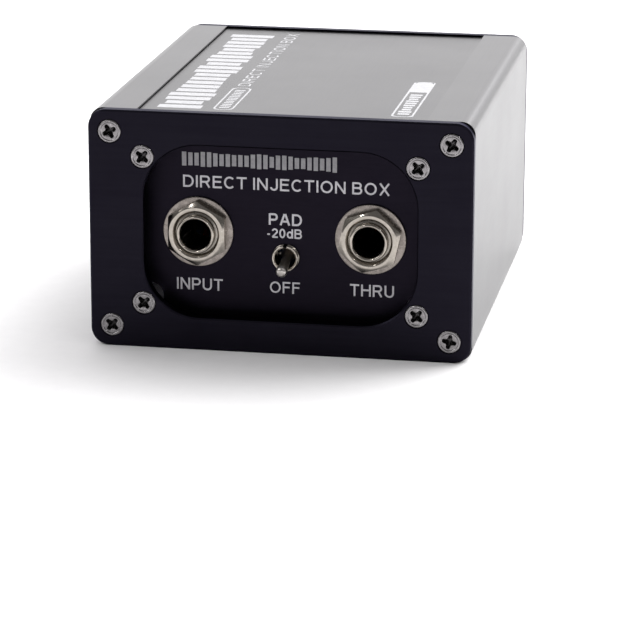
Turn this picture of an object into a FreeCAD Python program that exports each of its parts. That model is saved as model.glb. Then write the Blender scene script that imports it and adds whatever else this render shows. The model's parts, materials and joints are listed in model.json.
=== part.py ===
import FreeCAD, Part
import math
import os

V = FreeCAD.Vector

# ---------------------------------------------------------------- driving dimensions (mm)
WIDTH = 85.0            # across the box, X
HEIGHT = 53.5           # Z, from the resting face to the flanges
LENGTH = 102.0          # Y, over both bezels
CORNER_R = 3.0          # long outer edges of the body
WALL = 2.5              # bottom and side walls of the body
GAP = 0.1               # assembly gap between pieces that only touch

FLANGE_T = 4.0          # top flanges of the body
FLANGE_INNER_X = 32.0   # half of the opening between the flanges
COVER_RECESS = 0.5      # top cover below the flanges
COVER_T = 2.5
COVER_TONGUE = (1.5, 1.2)   # reach into each flange and thickness
COVER_SIDE_GAP = 0.2

BEZEL_T = 2.4
BEZEL_CORNER_R = 4.0
BEZEL_CHAMFER = 0.4
OPENING_W = 60.8
OPENING_H = 39.0
OPENING_R = 12.5
OPENING_CHAMFER = 0.3

CORNER_SCREW_INSET = 4.8    # from the side and from the top or bottom
INNER_SCREW_INSET_X = 12.07
INNER_SCREW_INSET_Z = 10.2
SCREW_R = 1.45              # M3 shank
SCREW_HEAD_R = 2.6
SCREW_HEAD_H = 1.35
SCREW_HOLE_R = 1.6
CORNER_SCREW_LENGTH = 10.0
INNER_SCREW_LENGTH = 9.0
BOSS_R = 3.6
BOSS_BORE_R = 1.5

SPACER_R = 3.15
SPACER_LENGTH = 4.0

PANEL_T = 2.0
PANEL_W = 67.4
PANEL_LOW = 3.2
PANEL_HIGH = 48.8
PANEL_CORNER_R = 2.0

BOARD_T = 1.6
BOARD_Z = 10.0
BOARD_W = 79.0
BOARD_END_CLEARANCE = 5.0
CARD_RIB_T = 1.2
CARD_RIB_X = 37.3

JACK_X = 19.3
JACK_Z = 25.5
JACK_BUSHING_R = 4.76
JACK_BORE_R = 3.25
JACK_NUT_ACROSS_FLATS = 12.7
JACK_NUT_T = 2.4
JACK_WASHER_R = 7.9
JACK_WASHER_T = 0.6
JACK_THREAD_PROUD = 0.8
JACK_LIP_R = 4.32           # turned-down mouth in front of the thread
JACK_LIP_LENGTH = 1.5
JACK_PLATE_T = 1.6
JACK_PLATE_HALF = 8.0       # the frame's plate is square, behind the panel
JACK_LEG = (10.0, 13.0)     # width and length of the frame's leg
JACK_STACK = (6.0, 13.0)    # where the springs' insulators lie along the leg
JACK_SPRING_END = 22.0      # behind the panel's back

TOGGLE_BUSHING_R = 3.0
TOGGLE_BUSHING_BORE_R = 2.25
TOGGLE_KEYWAY = (0.9, 0.55)     # width and depth of the slot along the bushing
TOGGLE_PIN_R = 0.7
TOGGLE_BUSHING_PROUD = 1.2
TOGGLE_PIVOT_DEPTH = 4.8    # behind the bushing's mouth
TOGGLE_LEVER_LENGTH = 9.8   # from the pivot to the tip
TOGGLE_NECK_R = 1.05
TOGGLE_THROW = 25.0         # degrees, side to side
TOGGLE_CASE = (6.8, 8.8, 13.0)  # width, depth, height
TOGGLE_CAVITY = (4.8, 5.6, 9.2)    # width, depth, height
TOGGLE_BRACKET_T = 0.6
TOGGLE_BALL_R = 1.7
PAD_TOGGLE_X = 0.3
GROUND_TOGGLE_X = -3.4
TOGGLE_Z = 20.4

SLIDE_X = -13.9
SLIDE_Z = 20.1
SLIDE_SLOT = (5.5, 7.5)         # cut in the panel, width and height
SLIDE_WINDOW_W = 4.4            # cut in the switch's own frame
SLIDE_KNOB = (5.0, 3.2)
SLIDE_NECK_W = 3.9
SLIDE_TRAVEL = 3.6
SLIDE_KNOB_PROUD = 0.7
SLIDE_FRAME = (8.0, 5.5, 17.0)  # width, depth, height behind the panel
SLIDE_RIB_PITCH = 0.9

LED_X = -22.7
LED_Z = 14.4
LED_R = 2.4
LED_PROUD = 1.9
LED_LEAD_PITCH = 2.54

XLR_X = 15.7
XLR_Z = 26.4
XLR_SHELL_R = 11.8
XLR_SOCKET_R = 9.6
XLR_MOUTH_R = 10.35         # front bore of the shell, filled by the insert's collar
XLR_COLLAR_DEPTH = 3.6
XLR_LINER_R = 8.8
XLR_LINER_DEPTH = 4.8
XLR_NOTCH_R = 11.2
XLR_NOTCH_DEPTH = 3.5
XLR_NOTCHES = ((9, 45), (135, 168))     # degrees from +X, seen from the output end
XLR_GAP = (69, 110)
XLR_LIP_R = 11.55           # inside of the thin lip left around the top gap
XLR_SLEEVE_R = 9.2
XLR_PROUD = 1.0
XLR_FLANGE = (26.0, 30.4, 2.0)      # width, height, thickness
XLR_SLOT = (6.4, 2.6, 8.0)          # width, height, depth of the slot at the bottom of the ring
XLR_KEY_W = 2.6
XLR_KEY_BALL_R = 1.1
XLR_SCREW_DX = 9.5
XLR_SCREW_DZ = 12.0
XLR_PIN_R = 1.2
XLR_PIN_PITCH = 3.81
XLR_PIN_TIP_DEPTH = 5.0     # behind the panel's face
XLR_INSERT_DEPTH = 18.3
XLR_INSERT_T = 5.0
XLR_TAIL = 4.5              # the pins' rear ends, behind the insert
XLR_SCREW_LENGTH = 7.5

RESISTOR = (1.15, 6.4)      # radius and length
RESISTOR_PITCH = 5.5
CAPACITOR = (3.1, 11.0)     # radius and height
CAPACITOR_PLACES = (-12, -3, 6)     # along Y
CLAMP_SCREW_X = 15.5
CAN_R = 11.0
CAN_HEIGHT = 27.0
CAN_Y = 4.0

WIRE_R = 0.65

# ---------------------------------------------------------------- derived places
END = LENGTH / 2                        # outer face of a bezel
BODY_END = END - BEZEL_T                # the body's cut ends
PANEL_FACE = BODY_END - SPACER_LENGTH   # outer face of a connector panel
PANEL_BACK = PANEL_FACE - PANEL_T
CORNER_X = WIDTH / 2 - CORNER_SCREW_INSET
INNER_X = WIDTH / 2 - INNER_SCREW_INSET_X
BOARD_TOP = BOARD_Z + BOARD_T
XLR_REAR = PANEL_FACE - XLR_INSERT_DEPTH - XLR_INSERT_T     # back face of the insert


# ---------------------------------------------------------------- helpers
def box(x0, y0, z0, x1, y1, z1):
    return Part.makeBox(x1 - x0, y1 - y0, z1 - z0, V(x0, y0, z0))


def rod(radius, x, z, y0, y1):
    """A cylinder along Y."""
    return Part.makeCylinder(radius, y1 - y0, V(x, y0, z), V(0, 1, 0))


def cone(r0, r1, x, z, y0, y1):
    """A cone along Y, r0 at y0 and r1 at y1."""
    return Part.makeCone(r0, r1, y1 - y0, V(x, y0, z), V(0, 1, 0))


def post(radius, x, y, z0, z1):
    """A cylinder along Z."""
    return Part.makeCylinder(radius, z1 - z0, V(x, y, z0), V(0, 0, 1))


def rounded_prism(x0, z0, x1, z1, radius, y0, y1):
    """A rounded rectangle in XZ, extruded along Y."""
    block = box(x0, y0, z0, x1, y1, z1)
    edges = [e for e in block.Edges if abs(e.tangentAt(e.FirstParameter).y) > 0.9]
    return block.makeFillet(radius, edges)


def rounded_cone(x0, z0, x1, z1, radius, y0, y1, grow):
    """A rounded rectangle in XZ that grows by `grow` on every side from y0 to y1."""
    def outline(y, g):
        r = radius + g
        xa, xb, za, zb = x0 - g, x1 + g, z0 - g, z1 + g
        s = r * (1 - math.sqrt(0.5))
        edges = [
            Part.LineSegment(V(xa + r, y, za), V(xb - r, y, za)).toShape(),
            Part.Arc(V(xb - r, y, za), V(xb - s, y, za + s), V(xb, y, za + r)).toShape(),
            Part.LineSegment(V(xb, y, za + r), V(xb, y, zb - r)).toShape(),
            Part.Arc(V(xb, y, zb - r), V(xb - s, y, zb - s), V(xb - r, y, zb)).toShape(),
            Part.LineSegment(V(xb - r, y, zb), V(xa + r, y, zb)).toShape(),
            Part.Arc(V(xa + r, y, zb), V(xa + s, y, zb - s), V(xa, y, zb - r)).toShape(),
            Part.LineSegment(V(xa, y, zb - r), V(xa, y, za + r)).toShape(),
            Part.Arc(V(xa, y, za + r), V(xa + s, y, za + s), V(xa + r, y, za)).toShape(),
        ]
        return Part.Wire(edges)
    return Part.makeLoft([outline(y0, 0.0), outline(y1, grow)], True, True)


def turned(points, x, z):
    """A solid of revolution about a Y axis through (x, z), from (radius, y) points."""
    loop = [V(r, y, 0) for r, y in points]
    face = Part.Face(Part.makePolygon(loop + [loop[0]]))
    solid = face.revolve(V(0, 0, 0), V(0, 1, 0), 360)
    solid.translate(V(x, 0, z))
    return solid


def to_output_end(shape):
    """Turns a piece built for the input end half round the vertical axis."""
    turned_shape = shape.copy()
    turned_shape.rotate(V(0, 0, 0), V(0, 0, 1), 180)
    return turned_shape


def group(solids):
    return solids[0] if len(solids) == 1 else Part.makeCompound(solids)


NODES = {}


def keep(name, *solids):
    NODES[name] = group([s.removeSplitter() for s in solids])


# ---------------------------------------------------------------- enclosure
def four_places(x, inset):
    """Four (x, z) places: left and right, and `inset` from the bottom and the top."""
    return [(side * x, z) for side in (-1, 1) for z in (inset, HEIGHT - inset)]


def corner_places():
    return four_places(CORNER_X, CORNER_SCREW_INSET)


def inner_places():
    return four_places(INNER_X, INNER_SCREW_INSET_Z)


def extruded_body():
    half = WIDTH / 2
    body = rounded_prism(-half, 0, half, HEIGHT, CORNER_R, -BODY_END, BODY_END)
    inside = half - WALL
    ceiling = HEIGHT - FLANGE_T
    body = body.cut(rounded_prism(-inside, WALL, inside, ceiling, 1.0, -END, END))
    body = body.cut(box(-FLANGE_INNER_X, -END, ceiling - 1, FLANGE_INNER_X, END, HEIGHT + 1))
    reach, tongue = COVER_TONGUE
    groove_x = FLANGE_INNER_X + reach
    groove_low = HEIGHT - COVER_RECESS - COVER_T - GAP
    body = body.cut(box(-groove_x, -END, groove_low, groove_x, END, groove_low + tongue + 2 * GAP))
    for side in (-1, 1):
        for low in (BOARD_Z - GAP - CARD_RIB_T, BOARD_TOP + GAP):
            x0, x1 = sorted((side * CARD_RIB_X, side * (inside + 0.5)))
            body = body.fuse(box(x0, -BODY_END, low, x1, BODY_END, low + CARD_RIB_T))
    for x, z in corner_places():
        body = body.fuse(rod(BOSS_R, x, z, -BODY_END, BODY_END))
    for x, z in corner_places():
        body = body.cut(rod(BOSS_BORE_R, x, z, -END, END))
    return body


def top_cover_plate():
    """A sliding cover whose stepped edges run in the body's grooves."""
    top = HEIGHT - COVER_RECESS
    low = top - COVER_T
    half = FLANGE_INNER_X - COVER_SIDE_GAP
    reach, tongue = COVER_TONGUE
    end = BODY_END - GAP
    plate = box(-half, -end, low, half, end, top)
    return plate.fuse(box(-half - reach, -end, low, half + reach, end, low + tongue))


def countersink(x, z):
    """The hole and the conical seat of one countersunk screw, opening towards -Y."""
    seat = cone(SCREW_HEAD_R + 0.15, SCREW_HOLE_R, x, z, -END, -END + SCREW_HEAD_H + 0.1)
    return seat.fuse(rod(SCREW_HOLE_R, x, z, -END, -END + BEZEL_T + 1))


def bezel():
    half = WIDTH / 2
    inset = BEZEL_CHAMFER
    plate = rounded_prism(-half, 0, half, HEIGHT, BEZEL_CORNER_R, -END + inset, -BODY_END)
    front = rounded_cone(-half + inset, inset, half - inset, HEIGHT - inset, BEZEL_CORNER_R - inset,
                         -END, -END + inset, inset)
    plate = plate.fuse(front)
    x, z0 = OPENING_W / 2, (HEIGHT - OPENING_H) / 2
    plate = plate.cut(rounded_prism(-x, z0, x, HEIGHT - z0, OPENING_R, -END - 1, -BODY_END + 1))
    lip = rounded_cone(-x, z0, x, HEIGHT - z0, OPENING_R, -END + OPENING_CHAMFER, -END, OPENING_CHAMFER)
    plate = plate.cut(lip)
    for px, pz in corner_places() + inner_places():
        plate = plate.cut(countersink(px, pz))
    return plate


def cross_recess(x, z, face, turn):
    """A cross-shaped driver recess cut into a screw head."""
    arm_long, arm_wide, depth = 1.5, 0.27, 0.85
    cutters = []
    for angle in (turn, turn + 90):
        arm = box(-arm_long, -0.1, -arm_wide, arm_long, depth, arm_wide)
        arm.rotate(V(0, 0, 0), V(0, 1, 0), angle)
        cutters.append(arm)
    recess = cutters[0].fuse(cutters[1])
    recess = recess.fuse(Part.makeCone(0.75, 0.3, depth + 0.2, V(0, -0.1, 0), V(0, 1, 0)))
    recess.translate(V(x, face, z))
    return recess


def flat_screw(x, z, face, length, turn):
    """A countersunk cross-head screw whose head is flush with `face` and points towards -Y."""
    rim = 0.2
    profile = [(0, face), (SCREW_HEAD_R, face), (SCREW_HEAD_R, face + rim),
               (SCREW_R, face + SCREW_HEAD_H), (SCREW_R, face + length - 0.5),
               (SCREW_R - 0.4, face + length), (0, face + length)]
    return turned(profile, x, z).cut(cross_recess(x, z, face, turn))


def spacer(x, z):
    y0, y1 = -BODY_END, -PANEL_FACE
    return rod(SPACER_R, x, z, y0, y1).cut(rod(SCREW_HOLE_R, x, z, y0, y1))


def panel_blank():
    half = PANEL_W / 2
    plate = rounded_prism(-half, PANEL_LOW, half, PANEL_HIGH, PANEL_CORNER_R, -PANEL_FACE, -PANEL_BACK)
    for x, z in inner_places():
        plate = plate.cut(rod(BOSS_BORE_R, x, z, -END, -PANEL_BACK + 1))
    return plate


def enclosure():
    keep("extruded_body", extruded_body())
    keep("top_cover_plate", top_cover_plate())
    turns = (12, 40, 65, 28)
    screws = [flat_screw(x, z, -END, CORNER_SCREW_LENGTH, turn)
              for (x, z), turn in zip(corner_places(), turns)]
    inner = [flat_screw(x, z, -END, INNER_SCREW_LENGTH, turn + 20)
             for (x, z), turn in zip(inner_places(), turns)]
    spacers = [spacer(x, z) for x, z in inner_places()]
    keep("input_bezel", bezel())
    keep("input_corner_screws", *screws)
    keep("input_panel_screws", *inner)
    keep("input_panel_spacers", *spacers)
    keep("output_bezel", to_output_end(bezel()))
    keep("output_corner_screws", *[to_output_end(s) for s in screws])
    keep("output_panel_screws", *[to_output_end(s) for s in inner])
    keep("output_panel_spacers", *[to_output_end(s) for s in spacers])


# ---------------------------------------------------------------- quarter-inch jacks
def hexagon(x, z, across_flats, y0, y1):
    corner = across_flats / math.sqrt(3)
    points = []
    for k in range(7):
        a = math.radians(60 * k + 30)
        points.append(V(x + corner * math.cos(a), y0, z + corner * math.sin(a)))
    prism = Part.Face(Part.makePolygon(points)).extrude(V(0, y1 - y0, 0))
    dome = turned([(0, y0), (across_flats / 2 - 0.1, y0), (corner + 0.1, y0 + 0.7), (corner + 0.1, y1),
                   (0, y1)], x, z)
    return prism.common(dome)


def jack(prefix, x, side):
    """An open-frame jack: threaded bushing and L frame, leaf springs on an insulator stack.
    side is +1 where the frame's leg stands on the +X side of the axis."""
    z = JACK_Z
    back = -PANEL_BACK
    face = -PANEL_FACE
    washer_y = face - JACK_WASHER_T
    nut_y = washer_y - JACK_NUT_T
    mouth = nut_y - JACK_THREAD_PROUD
    washer = rod(JACK_WASHER_R, x, z, washer_y, face)
    keep(prefix + "_washer", washer.cut(rod(JACK_BUSHING_R + GAP, x, z, washer_y, face)))
    nut = hexagon(x, z, JACK_NUT_ACROSS_FLATS, nut_y, washer_y)
    keep(prefix + "_nut", nut.cut(rod(JACK_BUSHING_R + 0.05, x, z, nut_y, washer_y)))
    shoulder = mouth + JACK_LIP_LENGTH
    tube = turned([(0, mouth), (JACK_LIP_R - 0.4, mouth), (JACK_LIP_R, mouth + 0.4),
                   (JACK_LIP_R, shoulder), (JACK_BUSHING_R, shoulder),
                   (JACK_BUSHING_R, back + 0.5), (0, back + 0.5)], x, z)
    half = JACK_PLATE_HALF
    plate = box(x - half, back, z - half, x + half, back + JACK_PLATE_T, z + half)
    leg_x = x + side * half
    leg_a, leg_b = sorted((leg_x, leg_x - side * JACK_PLATE_T))
    leg_w, leg_end = JACK_LEG
    leg = box(leg_a, back, z - leg_w / 2, leg_b, back + leg_end, z + leg_w / 2)
    frame = tube.fuse(plate).fuse(leg)
    frame = frame.cut(rod(JACK_BORE_R, x, z, mouth - 1, back + 5))
    frame = frame.cut(cone(JACK_BORE_R + 0.5, JACK_BORE_R, x, z, mouth, mouth + 0.5))
    keep(prefix + "_frame", frame)

    def inward(distance):
        """X at a distance from the leg's inner face, towards the axis."""
        return leg_x - side * (JACK_PLATE_T + distance)

    stack_start, stack_end = (back + y for y in JACK_STACK)
    layers = []
    for low, high in ((0.0, 1.0), (1.5, 2.5)):
        a, b = sorted((inward(low), inward(high)))
        layers.append(box(a, stack_start, z - 4.5, b, stack_end, z + 4.5))
    keep(prefix + "_insulators", *layers)

    def leaf(points, thickness, half_width):
        """A bent leaf of constant thickness, from (distance from the leg, y) points."""
        one = [V(inward(d), y, z - half_width) for d, y in points]
        two = [V(inward(d + thickness), y, z - half_width) for d, y in reversed(points)]
        outline = Part.Face(Part.makePolygon(one + two + [one[0]]))
        return outline.extrude(V(0, 0, 2 * half_width))

    spring_end = back + JACK_SPRING_END
    spring_line = [(1.0, stack_start), (1.0, stack_end + 0.5), (1.6, spring_end - 5),
                   (2.3, spring_end - 3), (1.4, spring_end)]
    tip_spring = leaf(spring_line, 0.45, 2.2)
    sleeve_tag = leaf([(2.5, stack_start + 1), (2.5, stack_end), (2.2, stack_end + 2.5)], 0.45, 1.6)
    keep(prefix + "_tip_spring", tip_spring)
    keep(prefix + "_sleeve_tag", sleeve_tag)


# ---------------------------------------------------------------- toggle switches
def toggle(prefix, x, place):
    """A miniature toggle switch for the input end, moved by place(). The lever leans down."""
    z = TOGGLE_Z
    back = -PANEL_BACK
    mouth = -PANEL_FACE - TOGGLE_BUSHING_PROUD
    pivot = mouth + TOGGLE_PIVOT_DEPTH
    width, depth, height = TOGGLE_CASE
    bracket_back = back + TOGGLE_BRACKET_T
    bushing = turned([(TOGGLE_BUSHING_BORE_R, mouth), (TOGGLE_BUSHING_R - 0.2, mouth),
                      (TOGGLE_BUSHING_R, mouth + 0.2), (TOGGLE_BUSHING_R, bracket_back),
                      (TOGGLE_BUSHING_BORE_R, bracket_back)], x, z)
    key_w, key_d = TOGGLE_KEYWAY
    key_low = z + TOGGLE_BUSHING_R - key_d
    bushing = bushing.cut(box(x - key_w / 2, mouth - 1, key_low, x + key_w / 2, back, z + 4))
    bracket = box(x - width / 2, back, z - height / 2, x + width / 2, bracket_back, z + height / 2)
    bracket = bracket.cut(rod(TOGGLE_BUSHING_BORE_R, x, z, back - 1, back + 2))
    keep(prefix + "_bushing", place(bushing.fuse(bracket)))

    back_of_case = bracket_back + depth
    case = box(x - width / 2, bracket_back, z - height / 2, x + width / 2, back_of_case, z + height / 2)
    room_w, room_d, room_h = TOGGLE_CAVITY
    case = case.cut(box(x - room_w / 2, bracket_back - 1, z - room_h / 2,
                        x + room_w / 2, bracket_back + room_d, z + room_h / 2))
    keep(prefix + "_case", place(case))

    tip = -TOGGLE_LEVER_LENGTH
    lever = turned([(0, tip), (0.75, tip), (1.1, tip + 0.35), (1.3, tip + 0.9), (1.3, tip + 1.8),
                    (TOGGLE_NECK_R, tip + 3.4), (TOGGLE_NECK_R, 0.5), (0.6, 3.6), (0, 3.6)], 0, 0)
    lever = lever.fuse(Part.makeSphere(TOGGLE_BALL_R, V(0, 0, 0)))
    lever = lever.fuse(Part.makeCylinder(TOGGLE_PIN_R, 4.4, V(-2.2, 0, 0), V(1, 0, 0)))
    lever.rotate(V(0, 0, 0), V(1, 0, 0), TOGGLE_THROW / 2)
    lever.translate(V(x, pivot, z))
    keep(prefix + "_lever", place(lever))

    blades = [box(x - 1.0, back_of_case, z + dz - 0.4, x + 1.0, back_of_case + 4.0, z + dz + 0.4)
              for dz in (-4.7, 0.0, 4.7)]
    keep(prefix + "_terminals", *[place(b) for b in blades])


# ---------------------------------------------------------------- lift mode slide switch
def slide_switch():
    """Built for the input end at -SLIDE_X and turned to the output end."""
    x, z = -SLIDE_X, SLIDE_Z
    back = -PANEL_BACK
    slot_h = SLIDE_SLOT[1]
    frame_w, frame_d, frame_h = SLIDE_FRAME
    frame_back = back + frame_d
    frame = box(x - frame_w / 2, back, z - frame_h / 2, x + frame_w / 2, frame_back, z + frame_h / 2)
    frame = frame.cut(box(x - 3.6, back + 0.5, z - 6.5, x + 3.6, frame_back + 1, z + 6.5))
    window = SLIDE_WINDOW_W / 2
    frame = frame.cut(box(x - window, back - 1, z - slot_h / 2, x + window, back + 1, z + slot_h / 2))
    keep("mode_switch_frame", to_output_end(frame))
    base = box(x - 3.5, frame_back - 1.2, z - 6.4, x + 3.5, frame_back, z + 6.4)
    keep("mode_switch_base", to_output_end(base))
    pins = [box(x - 0.6, frame_back, z + dz - 0.3, x + 0.6, frame_back + 3.5, z + dz + 0.3)
            for dz in (-4.0, 0.0, 4.0)]
    keep("mode_switch_terminals", *[to_output_end(p) for p in pins])
    knob_w, knob_h = SLIDE_KNOB
    low = z - SLIDE_TRAVEL / 2 - knob_h / 2
    front = -PANEL_FACE - SLIDE_KNOB_PROUD
    knob = box(x - knob_w / 2, front, low, x + knob_w / 2, back - 0.3, low + knob_h)
    for k in (-1, 0, 1):
        rib_z = low + knob_h / 2 + SLIDE_RIB_PITCH * k
        knob = knob.cut(box(x - knob_w, front - 1, rib_z - 0.2, x + knob_w, front + 0.3, rib_z + 0.2))
    neck = SLIDE_NECK_W / 2
    knob = knob.fuse(box(x - neck, back - 0.5, low, x + neck, back + 3.4, low + knob_h))
    carrier = box(x - 3.3, back + 0.8, low - 0.6, x + 3.3, back + 4.0, low + knob_h + 0.6)
    keep("mode_switch_knob", to_output_end(knob.fuse(carrier)))


# ---------------------------------------------------------------- indicator light
def indicator():
    x, z = -LED_X, LED_Z
    face, back = -PANEL_FACE, -PANEL_BACK
    top = face - LED_PROUD
    barrel = rod(LED_R, x, z, top + LED_R, back)
    dome = Part.makeSphere(LED_R, V(x, top + LED_R, z))
    flange = rod(2.9, x, z, back, back + 1.0)
    lens = barrel.fuse(dome).fuse(flange)
    keep("indicator_lens", to_output_end(lens))
    leads = []
    for lead_x in (x - LED_LEAD_PITCH / 2, x + LED_LEAD_PITCH / 2):
        run = box(lead_x - 0.25, back + 1.0, z - 0.25, lead_x + 0.25, back + 5.0, z + 0.25)
        drop = box(lead_x - 0.25, back + 4.5, BOARD_TOP, lead_x + 0.25, back + 5.0, z - 0.25)
        leads.append(to_output_end(run.fuse(drop)))
    keep("indicator_leads", *leads)


# ---------------------------------------------------------------- three-pin receptacle
def pin_places(x, z):
    return [(x - XLR_PIN_PITCH, z), (x + XLR_PIN_PITCH, z), (x, z - XLR_PIN_PITCH)]


def ring_sector(x, z, inner, outer, start, stop, y0, y1):
    """Part of a ring about a Y axis; angles in degrees from +X towards +Z."""
    sector = Part.makeCylinder(outer, y1 - y0, V(0, 0, 0), V(0, 0, 1), stop - start)
    sector = sector.cut(Part.makeCylinder(inner, y1 - y0, V(0, 0, 0), V(0, 0, 1)))
    sector.rotate(V(0, 0, 0), V(0, 0, 1), start)
    sector.rotate(V(0, 0, 0), V(1, 0, 0), 90)
    sector.translate(V(x, y1, z))
    return sector


def receptacle_shell(x, z, mouth, face, back, insert_face):
    """The plated shell: a notched ring in front, a mounting flange, a tube behind."""
    flange_w, flange_h, flange_t = XLR_FLANGE
    front_end = back + flange_t
    shell_end = insert_face + XLR_INSERT_T
    tube_r = XLR_SOCKET_R + 1.2
    step = face + XLR_COLLAR_DEPTH
    shell = turned([(XLR_MOUTH_R + 0.2, mouth), (XLR_SHELL_R - 0.3, mouth),
                    (XLR_SHELL_R, mouth + 0.3), (XLR_SHELL_R, front_end),
                    (tube_r, front_end), (tube_r, shell_end),
                    (XLR_SOCKET_R, shell_end), (XLR_SOCKET_R, step),
                    (XLR_MOUTH_R, step), (XLR_MOUTH_R, mouth + 0.2)], x, z)
    flange = rounded_prism(x - flange_w / 2, z - flange_h / 2, x + flange_w / 2, z + flange_h / 2,
                           3.0, back, front_end)
    flange = flange.cut(rod(XLR_SHELL_R - 1, x, z, back - 1, front_end + 1))
    shell = shell.fuse(flange)
    low = z - XLR_NOTCH_R
    slot_w, slot_h, slot_d = XLR_SLOT
    shell = shell.cut(box(x - slot_w / 2, mouth - 1, low, x + slot_w / 2, mouth + slot_d, low + slot_h))
    inner = XLR_SOCKET_R - 1
    notch_end = mouth + XLR_NOTCH_DEPTH
    for start, stop in XLR_NOTCHES:
        shell = shell.cut(ring_sector(x, z, inner, XLR_NOTCH_R, start, stop, mouth - 1, notch_end))
    start, stop = XLR_GAP
    return shell.cut(ring_sector(x, z, inner, XLR_LIP_R, start, stop, mouth - 1, notch_end))


def receptacle_insert(x, z, mouth, face, insert_face):
    """The moulded insert: a floor for the pins, a keyed liner, and fillers in the shell's notches."""
    shell_end = insert_face + XLR_INSERT_T
    outer = XLR_SOCKET_R - 0.05
    liner = face + XLR_LINER_DEPTH
    front = mouth + 0.7
    collar_end = face + XLR_COLLAR_DEPTH - 0.05
    insert = rod(outer, x, z, front, shell_end)
    insert = insert.fuse(rod(XLR_MOUTH_R - 0.05, x, z, front, collar_end))
    insert = insert.cut(rod(XLR_LINER_R, x, z, front - 1, insert_face))
    insert = insert.cut(rod(XLR_SLEEVE_R, x, z, front - 1, liner))
    slot = XLR_SLOT[0] / 2 + GAP
    insert = insert.cut(box(x - slot, front - 1, z - XLR_SHELL_R, x + slot, liner, z - XLR_SLEEVE_R + 1))
    filler_end = mouth + XLR_NOTCH_DEPTH - 0.05
    fillers = [(notch, XLR_NOTCH_R, 1.7) for notch in XLR_NOTCHES] + [(XLR_GAP, XLR_LIP_R, 1.2)]
    for (start, stop), radius, sunk in fillers:
        insert = insert.fuse(ring_sector(x, z, XLR_SLEEVE_R, radius - 0.05, start + 0.4, stop - 0.4,
                                         mouth + sunk, filler_end))
    key_w = XLR_KEY_W / 2
    key = box(x - key_w, liner, z + 6.6, x + key_w, insert_face, z + XLR_LINER_R + 0.2)
    insert = insert.fuse(key).fuse(Part.makeSphere(XLR_KEY_BALL_R, V(x, liner + 0.3, z + 7.5)))
    for px, pz in pin_places(x, z):
        insert = insert.cut(rod(XLR_PIN_R + 0.02, px, pz, insert_face - 1, shell_end + 1))
    return insert


def receptacle():
    x, z = -XLR_X, XLR_Z
    face, back = -PANEL_FACE, -PANEL_BACK
    mouth = face - XLR_PROUD
    insert_face = face + XLR_INSERT_DEPTH
    shell = receptacle_shell(x, z, mouth, face, back, insert_face)
    screw_places = [(x - XLR_SCREW_DX, z + XLR_SCREW_DZ), (x + XLR_SCREW_DX, z - XLR_SCREW_DZ)]
    for sx, sz in screw_places:
        shell = shell.cut(rod(SCREW_HOLE_R, sx, sz, back - 1, back + 3))
    keep("receptacle_shell", to_output_end(shell))
    keep("receptacle_insert", to_output_end(receptacle_insert(x, z, mouth, face, insert_face)))

    tip = face + XLR_PIN_TIP_DEPTH
    shell_end = insert_face + XLR_INSERT_T
    pin_end = shell_end + XLR_TAIL
    pins = []
    for px, pz in pin_places(x, z):
        pin = turned([(0, tip), (0.6, tip), (XLR_PIN_R, tip + 0.8),
                      (XLR_PIN_R, pin_end), (0, pin_end)], px, pz)
        pins.append(pin.cut(rod(0.75, px, pz, shell_end + 1.2, pin_end + 1)))
    keep("receptacle_pins", *[to_output_end(p) for p in pins])

    screws = [flat_screw(sx, sz, face, XLR_SCREW_LENGTH, 35) for sx, sz in screw_places]
    keep("receptacle_screws", *[to_output_end(s) for s in screws])
    seat = back + XLR_FLANGE[2]
    nuts = []
    for sx, sz in screw_places:
        nut = hexagon(sx, sz, 5.5, seat, seat + 2.2)
        nuts.append(nut.cut(rod(BOSS_BORE_R, sx, sz, back + 1, back + 5)))
    keep("receptacle_nuts", *[to_output_end(n) for n in nuts])


def panels():
    plate = panel_blank()
    for sx in (-1, 1):
        plate = plate.cut(rod(JACK_BUSHING_R + 0.15, sx * JACK_X, JACK_Z, -END, 0))
    plate = plate.cut(rod(TOGGLE_BUSHING_R + GAP, PAD_TOGGLE_X, TOGGLE_Z, -END, 0))
    keep("input_panel", plate)

    plate = panel_blank()
    plate = plate.cut(rod(XLR_SHELL_R + 0.15, -XLR_X, XLR_Z, -END, 0))
    for dx, dz in ((-XLR_SCREW_DX, XLR_SCREW_DZ), (XLR_SCREW_DX, -XLR_SCREW_DZ)):
        x, z = -XLR_X + dx, XLR_Z + dz
        seat = cone(SCREW_HEAD_R + 0.15, SCREW_HOLE_R, x, z,
                    -PANEL_FACE, -PANEL_FACE + SCREW_HEAD_H + 0.1)
        plate = plate.cut(seat).cut(rod(SCREW_HOLE_R, x, z, -END, 0))
    plate = plate.cut(rod(TOGGLE_BUSHING_R + GAP, -GROUND_TOGGLE_X, TOGGLE_Z, -END, 0))
    slot_w, slot_h = SLIDE_SLOT
    plate = plate.cut(box(-SLIDE_X - slot_w / 2, -END, SLIDE_Z - slot_h / 2, -SLIDE_X + slot_w / 2, 0,
                          SLIDE_Z + slot_h / 2))
    plate = plate.cut(rod(LED_R + GAP, -LED_X, LED_Z, -END, 0))
    keep("output_panel", to_output_end(plate))


# ---------------------------------------------------------------- circuit board and what stands on it
def board_half_length():
    return PANEL_BACK - BOARD_END_CLEARANCE


def on_board(x0, y0, x1, y1, height):
    return box(x0, y0, BOARD_TOP, x1, y1, BOARD_TOP + height)


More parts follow.
